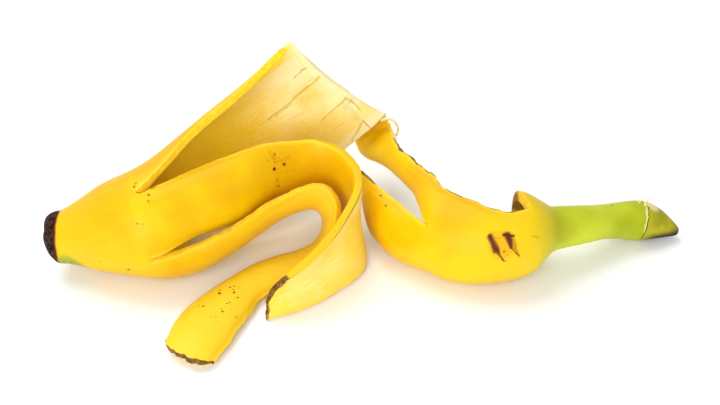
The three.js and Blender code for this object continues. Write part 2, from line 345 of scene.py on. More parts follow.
# %% A strip as a patch
THIN_EDGE = 0.68  # share of the wall that is left at a torn side
THIN_END = 0.5  # and at a torn end
STRIP_STEPS = 200  # places where a strip is measured


def strip_patch(
    name, stations, end, rows, columns, first_across, start_along, seed, ragged,
    cut=lambda w: 0 * w, column_width=SKIN_COLUMN, torn_end=0, held_end=False,
    joined_from=2, dried=nowhere, lined=nowhere,
):
    """A patch on a strip, from its second arc to place end, with ragged edges."""
    steps = np.linspace(1, end, STRIP_STEPS)
    arcs = between(stations, steps)
    middles = arc_point(arcs, np.full(STRIP_STEPS, 0.5))
    reach = np.concatenate([[0], np.cumsum(np.linalg.norm(np.diff(middles, axis=0), axis=1))])
    lines = [arc_point(arcs, np.full(STRIP_STEPS, w)) for w in np.linspace(0, 1, 9)]
    widths = np.linalg.norm(np.diff(lines, axis=0), axis=-1).sum(0)

    def measure(along, across):
        t = 1 + (end - 1 - cut(across)) * along
        length, width = np.interp(t, steps, reach), np.interp(t, steps, widths)
        return t, length, width, np.interp(end - cut(across), steps, reach) - length

    def place(along, across):
        t, length, width, to_end = measure(along, across)
        free = smooth_step(length, 0, ROOT_FADE)
        if held_end:
            free = free * smooth_step(to_end, 0, ROOT_FADE)
        first = wander(length, seed) * ragged[0] * free
        second = wander(length, seed + 3) * ragged[1] * free
        shift = first * (1 - smooth_step(across * width, 0, EDGE_FADE))
        shift = shift + second * (1 - smooth_step((1 - across) * width, 0, EDGE_FADE))
        if torn_end:
            near_end = 1 - smooth_step(to_end, 0, EDGE_FADE)
            bite = near_end * (0.5 + 0.5 * wander(across * width, seed + 7))
            t = t - bite * torn_end / reach[-1] * (end - 1)
        return arc_point(between(stations, t), across + shift / width)

    def facts(along, across):
        _, length, width, to_end = measure(along, across)
        from_side = np.minimum(across, 1 - across) * width
        torn = (across < joined_from) & (not held_end)  # where the end isn't joined on
        edge = np.where(torn, np.minimum(from_side, to_end), from_side)
        fibre = (first_across + across * columns * column_width, start_along + length, edge)
        from_edges = (length, to_end, across * width, (1 - across) * width)
        wall = THIN_EDGE + (1 - THIN_EDGE) * smooth_step(from_side, 0, 3.5)
        wall = 1 - (1 - wall) * smooth_step(length, 0, 10)
        if torn_end:
            wall = wall * (THIN_END + (1 - THIN_END) * smooth_step(to_end, 0, 9))
        return fibre, dried(*from_edges), lined(*from_edges), wall

    return lay_patch(name, place, rows, columns, facts)


print("wall at a torn side, mm:", round(THIN_EDGE * PEEL_THICKNESS, 1))

# %% [markdown]
# ## The two tubes
#
# The cone and the neck are closed tubes with no torn edge, so they don't wander. Fibre
# lengths are counted from the blossom end, and on the other half from the collar's mouth.

# %% The two tubes
FAR_FROM_EDGE = 50  # mm, as good as no edge
TUBE_STEPS = 100  # places where a tube is measured


def tube_patch(name, rings, start, end, rows, first_angle, column_width, start_along):
    """A patch right round a tube, and its length."""
    path = between(rings, np.linspace(start, end, TUBE_STEPS))[:, :3]
    reach = np.concatenate([[0], np.cumsum(np.linalg.norm(np.diff(path, axis=0), axis=1))])

    def place(along, across):
        return tube_point(rings, start + (end - start) * along, first_angle + 360 * across)

    def facts(along, across):
        length = np.interp(along, np.linspace(0, 1, TUBE_STEPS), reach)
        fibre = (across * SIDES * column_width, start_along + length, 0 * along + FAR_FROM_EDGE)
        return fibre, 0 * along, 0 * along, 0 * along + 1

    return lay_patch(name, place, rows, SIDES, facts), reach[-1]


cone_patch, cone_length = tube_patch(
    "cone", cone, 0, cone_end, 2 * cone_end, LOW_TEAR, SKIN_COLUMN, 0
)
neck_patch, neck_length = tube_patch(
    "neck", stem, collar_ring, stem_end, 2 * (stem_end - collar_ring),
    COLLAR_LOW_EDGE, COLLAR_COLUMN, 26,
)
print("cone and neck length, mm:", round(cone_length, 1), round(neck_length, 1))

# %% [markdown]
# ## The strips
#
# Each call gives a strip its arcs, its rows and columns, and where its fibres start. Torn
# ends and thin tips dry first and go brown, and so does the upper edge of the bridge, the
# collar and the pointed strip. A small function says for each how brown it is, from the
# distances to the root, to the end, and to the first and the second edge.

# %% The strips of the blossom end
END_HOLLOW = 0.07
DROP_SHARPNESS = 40


def back_cut(w):
    """The torn end is hollowed a little and falls away to where the bridge folds over."""
    free = np.minimum(w / bridge_share, 1)
    return FOLD_SETBACK * free**DROP_SHARPNESS + END_HOLLOW * (1 - (2 * free - 1) ** 2)


def brown_end(length, to_end, first, second):
    return 1 - smooth_step(to_end, 0.2, 2.4)


def brown_corner(length, to_end, first, second):
    """A brown end that reaches further in at the upper corner."""
    corner = 0.9 * (1 - smooth_step(to_end, 2, 8)) * (1 - smooth_step(second, 3, 9))
    return np.maximum(brown_end(length, to_end, first, second), corner)


def dark_line_side(length, to_end, first, second):
    """The upper edge of the returning half of the high strip, which has a thin dark line."""
    return (1 - smooth_step(second, 3, 5)) * (1 - smooth_step(to_end, 62, 72))


back_patch = strip_patch(
    "back_strip", back_strip, back_end, 14, BACK_COLUMNS, 18 * SKIN_COLUMN, cone_length, 1,
    cut=back_cut, ragged=(0.4, 0.3), joined_from=bridge_share - 0.02,
)
high_patch = strip_patch(
    "high_strip", high_strip, len(high_strip) - 1, 24, HIGH_COLUMNS, 10 * SKIN_COLUMN, cone_length, 2,
    ragged=(0.3, 0.35), torn_end=1.2, dried=brown_corner, lined=dark_line_side,
)
low_patch = strip_patch(
    "low_strip", low_strip, len(low_strip) - 1, 28, LOW_COLUMNS, 0, cone_length, 3,
    cut=lambda w: 0.2 * (2 * w - 1) ** 2, ragged=(0.4, 0.5), torn_end=1.5, dried=brown_end,
)
print("made:", back_patch.name, high_patch.name, low_patch.name)

# %% The strips of the stem end
def brown_top(length, to_end, first, second, after=-9):
    """Brown along the upper edge, from a distance along the strip to short of its end."""
    upper = 0.9 * (1 - smooth_step(second, 0.1, 1.1))
    return upper * smooth_step(to_end, -1, 4) * smooth_step(length, after, after + 8)


def brown_point(length, to_end, first, second):
    """Brown at the tip and along the upper edge next to it."""
    upper = 0.85 * (1 - smooth_step(second, 0.1, 0.8)) * (1 - smooth_step(to_end, 10, 22))
    return np.maximum(brown_end(length, to_end, first, second), upper)


collar_patch = strip_patch(
    "collar", collar, collar_ring + 1, 6, COLLAR_COLUMNS, 0, 0, 4,
    ragged=(0.3, 0.5), held_end=True, column_width=COLLAR_COLUMN, dried=brown_top,
)
point_patch = strip_patch(
    "pointed_strip", pointed_strip, len(pointed_strip) - 1, 9, POINT_COLUMNS, 0, 0, 5,
    ragged=(0.3, 0.2), torn_end=1.0, column_width=COLLAR_COLUMN, dried=brown_point,
)
bridge_patch = strip_patch(
    "bridge", bridge, len(bridge) - 2, 30, BRIDGE_COLUMNS, POINT_COLUMNS * COLLAR_COLUMN, -80, 6,
    ragged=(0.35, 0.55), held_end=True, column_width=COLLAR_COLUMN,
    dried=lambda *distances: brown_top(*distances, after=22),
)
print("made:", collar_patch.name, point_patch.name, bridge_patch.name)

# %% [markdown]
# ## One skin
#
# A grid laid from root to tip looks inwards, except the pointed strip, which was laid
# away from the stem; so all the others are flipped. Then the patches are joined, and the
# vertices that two patches share are merged, which turns eight pieces into one sheet
# with real torn edges.

# %% One skin
def select_only(*objects):
    bpy.ops.object.select_all(action="DESELECT")
    for thing in objects:
        thing.select_set(True)
    bpy.context.view_layer.objects.active = objects[0]


select_only(cone_patch, neck_patch, back_patch, high_patch, low_patch, collar_patch, bridge_patch)
bpy.ops.object.join()
peel = bpy.context.active_object
peel.name = "peel_skin"
bpy.ops.object.mode_set(mode="EDIT")
bpy.ops.mesh.select_all(action="SELECT")
bpy.ops.mesh.flip_normals()
bpy.ops.object.mode_set(mode="OBJECT")
select_only(peel, point_patch)
bpy.ops.object.join()
bpy.ops.object.mode_set(mode="EDIT")
bpy.ops.mesh.select_all(action="SELECT")
bpy.ops.mesh.remove_doubles(threshold=WELD_DISTANCE)
bpy.ops.object.mode_set(mode="OBJECT")
print("sheet:", len(peel.data.vertices), "vertices,", len(peel.data.polygons), "faces")

# %% [markdown]
# The strips leave the cone in slightly different directions than the cone arrives in. On a
# real peel nothing shows where they begin, so the vertices of a band on both sides of that
# ring are smoothed towards their neighbours. Those on the torn edges stay where they are.

# %% Smooth where the strips begin
SEAM_BAND = 9
KEPT_EDGE = 0.5
BLOSSOM_HALF = -50  # the seam is left of this x


def edit_where(chosen):
    """Goes into edit mode with only the vertices selected for which chosen(vertex) holds."""
    bpy.ops.object.mode_set(mode="EDIT")
    bpy.ops.mesh.select_all(action="DESELECT")
    bpy.ops.object.mode_set(mode="OBJECT")
    for vertex in peel.data.vertices:
        vertex.select = bool(chosen(vertex))
    bpy.ops.object.mode_set(mode="EDIT")


fibres = read_vectors(peel.data.attributes["fibre"].data, "vector")
in_band = np.abs(fibres[:, 1] - cone_length) < SEAM_BAND
inner = fibres[:, 2] > KEPT_EDGE
edit_where(lambda v: v.co.x < BLOSSOM_HALF and in_band[v.index] and inner[v.index])
bpy.ops.mesh.vertices_smooth(factor=0.5, repeat=30)
bpy.ops.object.mode_set(mode="OBJECT")
print("band smoothed, mm:", 2 * SEAM_BAND)

# %% [markdown]
# ## The lumps
#
# The fruit inside has pressed the skin into long shallow lumps, and the blossom scar is
# knobbly. Sine waves in six random directions, added up, give such a height, and each
# vertex moves along its normal by it. This is done to the thin sheet, so that the outside
# and the inside move together.

# %% Lumps of the skin
def lumps(points, size, seed):
    """A smooth random-looking height of about -1 to 1 for points, in millimetres."""
    total = np.zeros(len(points))
    turns = np.random.default_rng(seed).normal(size=(6, 3))
    turns /= np.linalg.norm(turns, axis=1, keepdims=True)
    for i, turn in enumerate(turns):
        total += np.sin(points @ turn * 2 * math.pi / (size * (1 + 0.23 * i)) + 1.3 * i + seed)
    return total / 3


def write_points(thing, points):
    thing.data.vertices.foreach_set("co", points.ravel())
    thing.data.update()


points = read_vectors(peel.data.vertices)
normals = read_vectors(peel.data.vertices, "normal")
scar = 1 - smooth_step(points[:, 0], -98.6, -96.6)
height = 0.22 * lumps(points, 26, 1) + 0.1 * lumps(points, 9, 2) + 0.35 * scar * lumps(points, 3.5, 3)
write_points(peel, points + normals * height[:, None])
print("lumps, mm:", round(height.min(), 2), "to", round(height.max(), 2))

# %% [markdown]
# ## The thickness
#
# Solidify copies the sheet outwards and inwards and closes the torn edges with a rim. It
# can give the inside and the rim their own material slots, which is just what a peel
# needs: waxy skin outside, pith inside, torn flesh between. A vertex group thins the wall
# where the `wall` attribute says so. The very ends of the cone and the stem are solid on
# a real banana, so there all the inside vertices are drawn together into one point.

# %% The thickness
for slot_name in ("waxy_skin", "pith", "torn_flesh"):
    peel.data.materials.append(bpy.data.materials.new(slot_name))
thin = peel.vertex_groups.new(name="wall")
shares = np.zeros(len(peel.data.vertices))
peel.data.attributes["wall"].data.foreach_get("value", shares)
for step in np.unique(np.round(shares, 2)):
    thin.add(np.flatnonzero(np.round(shares, 2) == step).tolist(), float(step), "REPLACE")
select_only(peel)
bpy.ops.object.modifier_add(type="SOLIDIFY")
wall = peel.modifiers[-1]
wall.thickness = PEEL_THICKNESS
wall.offset = 0
wall.vertex_group = thin.name
wall.material_offset = 1
wall.material_offset_rim = 2
bpy.ops.object.modifier_apply(modifier=wall.name)


def gather_inside(beyond, direction):
    """Draws the inside vertices past x = beyond together into one point."""
    inside = {v for face in peel.data.polygons if face.material_index == 1 for v in face.vertices}
    edit_where(lambda v: v.index in inside and (v.co.x - beyond) * direction > 0)
    bpy.ops.mesh.merge(type="CENTER")
    bpy.ops.object.mode_set(mode="OBJECT")


gather_inside(BLOSSOM_SOLID_END, -1)
gather_inside(STEM_SOLID_START, 1)
print("solid peel:", len(peel.data.polygons), "faces")

# %% [markdown]
# ## Rounded edges
#
# Torn peel has no sharp corners. A Bevel modifier limited by angle rounds only the edges
# between the rim and the two skins, because everything else is smooth.

# %% Rounded edges
select_only(peel)
bpy.ops.object.modifier_add(type="BEVEL")
edge_round = peel.modifiers[-1]
edge_round.width = CORNER_ROUND
edge_round.segments = 2
edge_round.limit_method = "ANGLE"
edge_round.angle_limit = CORNER_ANGLE
bpy.ops.object.modifier_apply(modifier=edge_round.name)
bpy.ops.object.shade_smooth()
print("rounded peel:", len(peel.data.polygons), "faces")

# %% [markdown]
# ## On the table
#
# A limp peel presses itself flat where it touches the table, so whatever would reach
# below the table is lifted to it. Then the peel is moved to the middle of the CAD box and
# turned into metres, both in the mesh, so that its object stays at the origin.

# %% On the table
points = read_vectors(peel.data.vertices)
points[:, 2] = np.maximum(points[:, 2], 0)
middle = (points.min(0) + points.max(0)) / 2
cad_middle = np.array((cad_low + cad_high) / 2) / MM
to_cad = np.array([cad_middle[0] - middle[0], cad_middle[1] - middle[1], 0])
write_points(peel, (points + to_cad) * MM)
print("moved by, mm:", np.round(to_cad, 2))

# %% [markdown]
# ## Finishes
#
# One function turns a hex colour, as a painter's chart gives it, into the linear values
# that Blender mixes. Another adds a node, sets it and links it, so that each finish reads
# as a list of steps. A finish starts from a blank material and ends when it is shown. All
# patterns are in millimetres: object coordinates for spots on the skin, and the `fibre`
# attribute for streaks that follow the peel.

# %% Colour and node helpers
def linear(hex_colour):
    """The linear red, green, blue and alpha of an sRGB colour such as #F2C413."""
    parts = [int(hex_colour[i:i + 2], 16) / 255 for i in (1, 3, 5)]
    return tuple(c / 12.92 if c <= 0.04045 else ((c + 0.055) / 1.055) ** 2.4 for c in parts) + (1.0,)


def add(tree, kind, inputs=None, out=0, **settings):
    """Adds a node and gives one of its outputs. An input is a value, a hex colour or an output."""
    made = tree.nodes.new("ShaderNode" + kind)
    for name, value in settings.items():
        setattr(made, name, value)
    for name, value in (inputs or {}).items():
        if isinstance(value, bpy.types.NodeSocket):
            tree.links.new(value, made.inputs[name])
        else:
            made.inputs[name].default_value = linear(value) if isinstance(value, str) else value
    return made.outputs[out]


def blank(slot_name):
    """An emptied material, and the place on the object in millimetres."""
    material = bpy.data.materials[slot_name]
    material.use_nodes = True
    tree = material.node_tree
    tree.nodes.clear()
    where = add(tree, "TexCoord", out="Object")
    return tree, add(tree, "VectorMath", {0: where, "Scale": 1 / MM}, operation="SCALE")


def show(tree, surface):
    """Makes a shader the surface of its material."""
    output = tree.nodes.new("ShaderNodeOutputMaterial")
    tree.links.new(surface, output.inputs["Surface"])
    print(len(tree.nodes), "nodes")


print("banana yellow, linear:", [round(c, 3) for c in linear("#F2C413")])

# %% [markdown]
# Four patterns come back in the finishes. A coat lays one colour over another where some
# value rises or falls. A stroke is a coat in the shape of a tapering line. Near is 1
# close to a place and fades to 0 further away. A drift moves a place about, so that a
# straight line wanders.

# %% Patterns
SOLID_CORE = 0.3  # share of a stroke's reach that has its full colour


def coat(tree, colour, over, value, start, end, strength=1.0):
    """Lays a colour over another, softly, as value goes from start to end."""
    share = add(
        tree, "MapRange", {0: value, 1: start, 2: end, 4: strength},
        interpolation_type="SMOOTHSTEP",
    )
    return add(tree, "Mix", {0: share, 6: colour, 7: over}, 2, data_type="RGBA")


def stroke(tree, colour, over, where, start, end, wide, thin, strength=1.0):
    """Draws a line that narrows from wide at its start to thin at its end."""
    span = Vector(end) - Vector(start)
    offset = add(tree, "VectorMath", {0: where, 1: start}, operation="SUBTRACT")
    along = add(tree, "VectorMath", {0: offset, 1: span}, "Value", operation="DOT_PRODUCT")
    along = add(
        tree, "Math", {0: along, 1: 1 / span.length_squared}, operation="MULTIPLY", use_clamp=True
    )
    foot = add(tree, "VectorMath", {0: span, "Scale": along}, operation="SCALE")
    away = add(tree, "VectorMath", {0: offset, 1: foot}, "Value", operation="DISTANCE")
    reach = add(tree, "MapRange", {0: along, 3: wide, 4: thin})
    core = add(tree, "Math", {0: reach, 1: SOLID_CORE}, operation="MULTIPLY")
    return coat(tree, colour, over, away, reach, core, strength)


def near(tree, where, centre, start, end):
    """1 within start of a place, 0 beyond end."""
    away = add(tree, "VectorMath", {0: where, 1: centre}, "Value", operation="DISTANCE")
    return add(tree, "MapRange", {0: away, 1: end, 2: start}, interpolation_type="SMOOTHSTEP")


def drift(tree, where, size, reach):
    """The same place, moved about by up to half of reach in waves of a given size."""
    push = add(tree, "TexNoise", {"Vector": where, "Scale": 1 / size, "Detail": 3.0}, "Color")
    push = add(tree, "VectorMath", {0: push, 1: (0.5, 0.5, 0.5)}, operation="SUBTRACT")
    return add(
        tree, "VectorMath", {0: push, 1: (reach, reach, reach), 2: where}, operation="MULTIPLY_ADD"
    )


print("full colour in the middle share of a stroke:", SOLID_CORE)

# %% [markdown]
# Freckles are where the skin has died in tiny spots. A Voronoi pattern gives one random
# point in each cell: the distance to it draws the spot, and a random value of the cell
# decides whether there is a spot at all and how large it is.

# %% Freckles
SPOT_BLUR = 0.2  # share of a spot's radius over which it fades


def freckles(tree, where, cell, share, radius):
    """Round spots in a share of the cells, up to `radius` millimetres."""
    spots = add(tree, "TexVoronoi", {"Vector": where, "Scale": 1 / cell}).node
    chance = add(tree, "SeparateColor", {0: spots.outputs["Color"]})
    size = add(tree, "MapRange", {0: chance, 1: 1 - share, 2: 1.0, 4: radius / cell})
    inside = add(tree, "Math", {0: size, 1: spots.outputs["Distance"]}, operation="SUBTRACT")
    return add(
        tree, "MapRange", {0: inside, 2: SPOT_BLUR * radius / cell},
        interpolation_type="SMOOTHSTEP",
    )


print("a freckle fades over the outer share of its radius:", SPOT_BLUR)

# %% [markdown]
# ### Waxy skin
#
# Banana skin is a living cuticle with a thin natural wax: a clear yellow, a soft broad
# shine, and light that goes a little way in and comes out warmer. It stays green longest
# at the neck, browns in freckles, and this one has a bruise on the collar where it was
# knocked. The blossom scar is a dry black-brown cork.

# %% Waxy skin colours
tree, mm = blank("waxy_skin")
fibre = add(tree, "Attribute", attribute_name="fibre", out="Vector")
dried = add(tree, "Attribute", attribute_name="dried", out="Fac")
across, along, edge = add(tree, "SeparateXYZ", {0: fibre}).node.outputs
x, _, z = add(tree, "SeparateXYZ", {0: mm}).node.outputs
cloud = add(tree, "TexNoise", {"Vector": mm, "Scale": 1 / 22, "Detail": 3.0})
wobble = add(tree, "TexNoise", {"Vector": mm, "Scale": 1 / 5})
grain = add(tree, "TexNoise", {"Vector": mm, "Scale": 1 / 0.9, "Detail": 3.0, "Roughness": 0.6})
# streaks 2 mm wide and 40 mm long run with the fibres
stretched = add(tree, "VectorMath", {0: fibre, 1: (1 / 2, 1 / 40, 0)}, operation="MULTIPLY")
streak = add(tree, "TexNoise", {"Vector": stretched, "Scale": 1.0})
colour = coat(tree, linear("#DAA600"), "#E6BC00", cloud, 0.35, 0.7)
colour = coat(tree, colour, "#F4CC2C", streak, 0.5, 0.85, 0.3)
# painted highlight: the skin is painted lighter within 2 mm of a torn edge, where it rounds over into
# the light
colour = coat(tree, colour, "#F3D23C", edge, 1.8, 0.2, 0.5)
# the low strip, first round the cone, is painted paler the further it is from the cone: painted light
# on a face that turns down into shade
blossom_half = add(tree, "MapRange", {0: x, 1: 4.0, 2: -2.0, 4: 0.9})
low_strip_light = add(tree, "MapRange", {0: along, 1: 40.0, 2: 75.0, 4: blossom_half})
colour = coat(tree, colour, "#EDC62A", across, 28, 22, low_strip_light)
print("skin: clouds of 22 mm, streaks of 2 mm")

# %% Green neck and blossom end
neck_start = add(tree, "Math", {0: x, 1: wobble}, operation="SUBTRACT")
colour = coat(tree, colour, "#E2BC1A", neck_start, 22, 44, 0.6)
colour = coat(tree, colour, "#D2C01A", neck_start, 42, 58, 0.7)
green = coat(tree, linear("#9AA312"), "#BFC72C", cloud, 0.3, 0.7)
colour = coat(tree, colour, green, neck_start, 53, 63)
# a darker olive patch at the front, where the neck starts
colour = coat(tree, colour, "#8E8A10", near(tree, mm, (62.5, -7, 18), 1, 8), 0, 1, 0.35)
ripe_tip = coat(tree, linear("#95900E"), "#ABA316", wobble, 0.35, 0.65)
colour = coat(tree, colour, ripe_tip, neck_start, 89, 95)
colour = coat(tree, colour, "#D2B812", x, -82, -100, 0.5)
colour = coat(tree, colour, "#7C9A22", near(tree, mm, (-95.5, -11.8, 6.5), 2, 8.5), 0, 1, 0.85)
print("green neck from x = 55 mm")

# %% Freckled skin
# lone freckles stand about 6 mm apart, and in eight places they crowd together
crowd = 0.0
for centre, reach in [
    ((-74.5, -18.8, 11.5), 4), ((-70.7, -10.7, 35.5), 6), ((-70.6, -17, 31.1), 4),
    ((-94.8, -11.3, 8.1), 4), ((4.7, 8.5, 18.4), 7), ((-45.4, -26.9, 6.2), 11),
    ((42, -19, 19), 6), ((-30.5, 8.5, 29.5), 9),
]:
    cluster = near(tree, mm, centre, reach * 0.3, reach)
    crowd = add(tree, "Math", {0: crowd, 1: cluster}, operation="MAXIMUM")
colour = coat(tree, colour, "#4E3008", freckles(tree, mm, 6, 0.45, 0.5), 0, 1, 0.85)
colour = coat(tree, colour, "#5A3406", freckles(tree, mm, 1.5, 0.6, 0.7), 0, 1, crowd)
print("freckles up to 1.4 mm across")

# %% Speckled line on the high strip
# where the strip bends back its skin has a band of fine brown specks
speckled = add(
    tree, "MapRange", {0: grain, 1: 0.46, 2: 0.58, 4: 0.6}, interpolation_type="SMOOTHSTEP"
)
colour = stroke(tree, colour, "#A86A04", mm, (-31.4, 10.6, 35), (-29.4, 7, 25.5), 2.0, 1.4, speckled)
colour = stroke(tree, colour, "#C48804", mm, (-29, 9.5, 33.5), (-20, 14, 33), 2.4, 1.2, speckled)
print("rubbed band up to 5 mm wide")

# %% [markdown]
# The bruise is where something knocked the peel and dragged down it: two dark wedges, wide
# at the top and thin below, with thin lines between them and a browned field around.
# Painted shade draws a long shallow crease above it on the collar, and one at the first tear.

# %% Bruise and painted crease shade
wandering = drift(tree, mm, 3, 1.0)
colour = coat(tree, colour, "#C98E04", near(tree, mm, (41.2, -18, 20.3), 2, 6), 0, 1, 0.5)
for start, end, wide, thin, over, strength in [
    # the first four strokes are painted shade along two creases, the others draw the bruise
    ((42.3, -16.3, 23.9), (53.5, -14.9, 21.2), 0.7, 0.4, "#BC8A04", 0.75),
    ((42.3, -16.3, 23.9), (31.5, -15.5, 24.6), 0.7, 0.4, "#D49E04", 0.7),
    ((-67.3, -8.4, 35.7), (-56.5, -4.6, 35.9), 0.9, 0.3, "#8A5A06", 0.7),
    ((-67.3, -8.4, 35.7), (-74, -12, 33.4), 0.6, 0.2, "#B98204", 0.6),
    ((37.6, -17.1, 23.2), (41.6, -20.3, 16.4), 1.9, 0.6, "#A4640A", 0.7),
    ((43.4, -16.9, 23.2), (47.0, -19.6, 17.0), 2.0, 0.5, "#A4640A", 0.7),
    ((37.4, -17.0, 23.4), (39.4, -19.0, 19.6), 1.2, 1.8, "#561A05", 0.97),
    ((39.2, -18.8, 20.0), (42.0, -20.3, 16.0), 1.3, 0.25, "#5E2206", 0.93),
    ((41.8, -16.8, 23.4), (45.0, -16.7, 23.2), 0.8, 0.5, "#561E08", 0.95),
    ((43.0, -16.9, 23.2), (44.4, -18.5, 19.8), 1.7, 0.6, "#561A05", 0.97),
    ((44.3, -18.4, 20.0), (47.7, -19.6, 16.6), 0.5, 0.2, "#6A3008", 0.85),
    ((40.2, -19.8, 17.4), (43.2, -20.5, 15.4), 0.3, 0.3, "#7A440A", 0.75),
    ((43.2, -20.5, 15.4), (47.4, -19.8, 16.4), 0.3, 0.2, "#7A440A", 0.6),
    ((38.8, -17.2, 23.0), (42.0, -17.4, 22.2), 0.3, 0.2, "#8A5208", 0.6),
]:
    colour = stroke(tree, colour, over, wandering, start, end, wide, thin, strength)
print("bruise about 10 mm across")

# %% Dried edges, scar and stem tip
dry_edge = add(tree, "Math", {0: dried, 1: wobble}, operation="ADD")
browned = coat(tree, linear("#4A2E10"), "#8A6326", grain, 0.35, 0.65)
colour = coat(tree, colour, browned, dry_edge, 1.12, 1.35)
scar_edge = add(tree, "Math", {0: x, 1: wobble}, operation="ADD")
colour = coat(tree, colour, "#6E2A12", scar_edge, -97.9, -98.8)
cork_lumps = add(tree, "TexNoise", {"Vector": mm, "Scale": 1 / 1.4, "Detail": 4.0, "Roughness": 0.7})
cork = coat(tree, linear("#120A07"), "#5A3626", cork_lumps, 0.42, 0.66)
colour = coat(tree, colour, cork, scar_edge, -98.7, -99.4)
# the stem tip is painted darker brown towards its bottom
under_tip = add(tree, "MapRange", {0: x, 1: 90.0, 2: 96.0})
colour = coat(tree, colour, "#2C1B0C", z, 6.0, 2.8, under_tip)
# the break at the tip goes all the way through, so it is drawn flat, seen along Y
through = add(tree, "VectorMath", {0: drift(tree, mm, 2.5, 2.4), 1: (1, 0, 1)}, operation="MULTIPLY")
colour = stroke(tree, colour, "#E9DFA6", through, (92.6, 0, 14.6), (91.0, 0, 6.6), 0.8, 0.2, 0.7)
colour = stroke(tree, colour, "#2A1E0A", through, (93.4, 0, 14.6), (90.6, 0, 3.0), 0.25, 0.4, 0.85)
colour = coat(tree, colour, "#E8D9A0", near(tree, mm, (94.5, 13.4, 11.6), 1.2, 3.6), 0, 1, 0.8)
colour = coat(tree, colour, "#2C1B0C", near(tree, mm, (80.2, 9.6, 15.8), 0.5, 0.8), 0, 1, 0.9)
print("scar from x = -98.7 mm")

# %% Waxy skin surface
rough_spots = add(tree, "MapRange", {0: scar_edge, 1: -98.6, 2: -99.4})
roughness = add(tree, "MapRange", {0: rough_spots, 3: 0.44, 4: 0.8})
fine_bump = add(tree, "Bump", {"Height": grain, "Strength": 0.12, "Distance": 0.0003})
soft_bump = add(
    tree, "Bump", {"Height": wobble, "Strength": 0.25, "Distance": 0.001, "Normal": fine_bump}
)
cork_height = add(tree, "Math", {0: cork_lumps, 1: rough_spots}, operation="MULTIPLY")
cork_bump = add(
    tree, "Bump", {"Height": cork_height, "Strength": 1.0, "Distance": 0.002, "Normal": soft_bump}
)
show(tree, add(
    tree, "BsdfPrincipled",
    {"Base Color": colour, "Roughness": roughness, "Normal": cork_bump, "IOR": 1.45,
     "Specular IOR Level": 0.2, "Subsurface Weight": 0.25,
     "Subsurface Radius": (1.0, 0.85, 0.05), "Subsurface Scale": 0.003},
))

# %% [markdown]
# ### Pith
#
# The inside is soft cellulose: matt, cream, and combed lengthwise by the fibres that held
# the fruit. Where the wall is thin, at edges, the yellow of the skin shines through. It is
# creamier high up and yellower low down, partly its own tone and partly painted bounce
# light from the skin. Towards the cone it is painted bright yellow, painted light for the
# shaded inside of the tall strip, and more so near that strip's left rim. On the tall
# strip the pith has split across in a few fine cracks, drawn as thin olive brown lines.

# %% Pith colours
tree, mm = blank("pith")
fibre = add(tree, "Attribute", attribute_name="fibre", out="Vector")
dried = add(tree, "Attribute", attribute_name="dried", out="Fac")
lined = add(tree, "Attribute", attribute_name="lined", out="Fac")
edge = add(tree, "SeparateXYZ", {0: fibre}, 2)
x, y, z = add(tree, "SeparateXYZ", {0: mm}).node.outputs
combed = add(tree, "VectorMath", {0: fibre, 1: (1 / 1.1, 1 / 12, 0)}, operation="MULTIPLY")
threads = add(tree, "TexNoise", {"Vector": combed, "Scale": 1.0, "Detail": 3.0, "Roughness": 0.6})
# ribs 3 mm apart cross the fibres, where the pith has wrinkled as it bent
crosswise = add(tree, "VectorMath", {0: fibre, 1: (1 / 16, 1 / 3, 0)}, operation="MULTIPLY")
ribs = add(tree, "TexNoise", {"Vector": crosswise, "Scale": 1.0})
cloud = add(tree, "TexNoise", {"Vector": mm, "Scale": 1 / 14, "Detail": 3.0})
grain = add(tree, "TexNoise", {"Vector": mm, "Scale": 1 / 0.8, "Detail": 3.0, "Roughness": 0.6})
colour = coat(tree, linear("#EFD268"), "#F9EBAC", cloud, 0.35, 0.65)
# creamier high up, yellower low down: partly the pith's own tone, partly painted bounce light from
# the yellow skin
colour = coat(tree, colour, "#F6E6B4", z, 34, 52, 0.8)
colour = coat(tree, colour, "#F4CC22", z, 38, 18, 0.6)
# painted light: the pith towards the cone is painted bright yellow, to light the shaded inside of the
# tall strip
colour = coat(tree, colour, "#FFDA1E", x, -22, -52, 0.95)
colour = coat(tree, colour, "#D6B44A", threads, 0.55, 0.8, 0.45)
colour = coat(tree, colour, "#FDF2C8", threads, 0.45, 0.2, 0.5)
colour = coat(tree, colour, "#E2B85A", ribs, 0.55, 0.8, 0.15)
colour = coat(tree, colour, "#F4CE3A", edge, 3.5, 0.3, 0.6)
# painted light: near the left rim of the tall strip, towards the back, the pith is painted yellow
# where it lies in shade
behind = add(tree, "MapRange", {0: y, 1: 6.0, 2: 12.0, 4: 0.85})
painted_rim_light = add(tree, "MapRange", {0: x, 1: -18.0, 2: -26.0, 4: behind})
colour = coat(tree, colour, "#F8D01E", edge, 5.0, 2.5, painted_rim_light)
folded_end = add(tree, "MapRange", {0: y, 1: 33.0, 2: 37.0, 4: 0.8})
colour = coat(tree, colour, "#FBECBC", edge, 4.5, 2.0, folded_end)
print("pith threads of 1.1 mm")

# %% Cracks, dark line and dried ends of the pith
wandering = drift(tree, mm, 5, 3.0)
facing = add(tree, "VectorMath", {0: wandering, 1: (1, 0, 1)}, operation="MULTIPLY")
behind_strip = add(tree, "MapRange", {0: y, 1: 45.5, 2: 44.5, 4: 0.6})
on_tall_strip = add(tree, "MapRange", {0: y, 1: 28.0, 2: 31.0, 4: behind_strip})
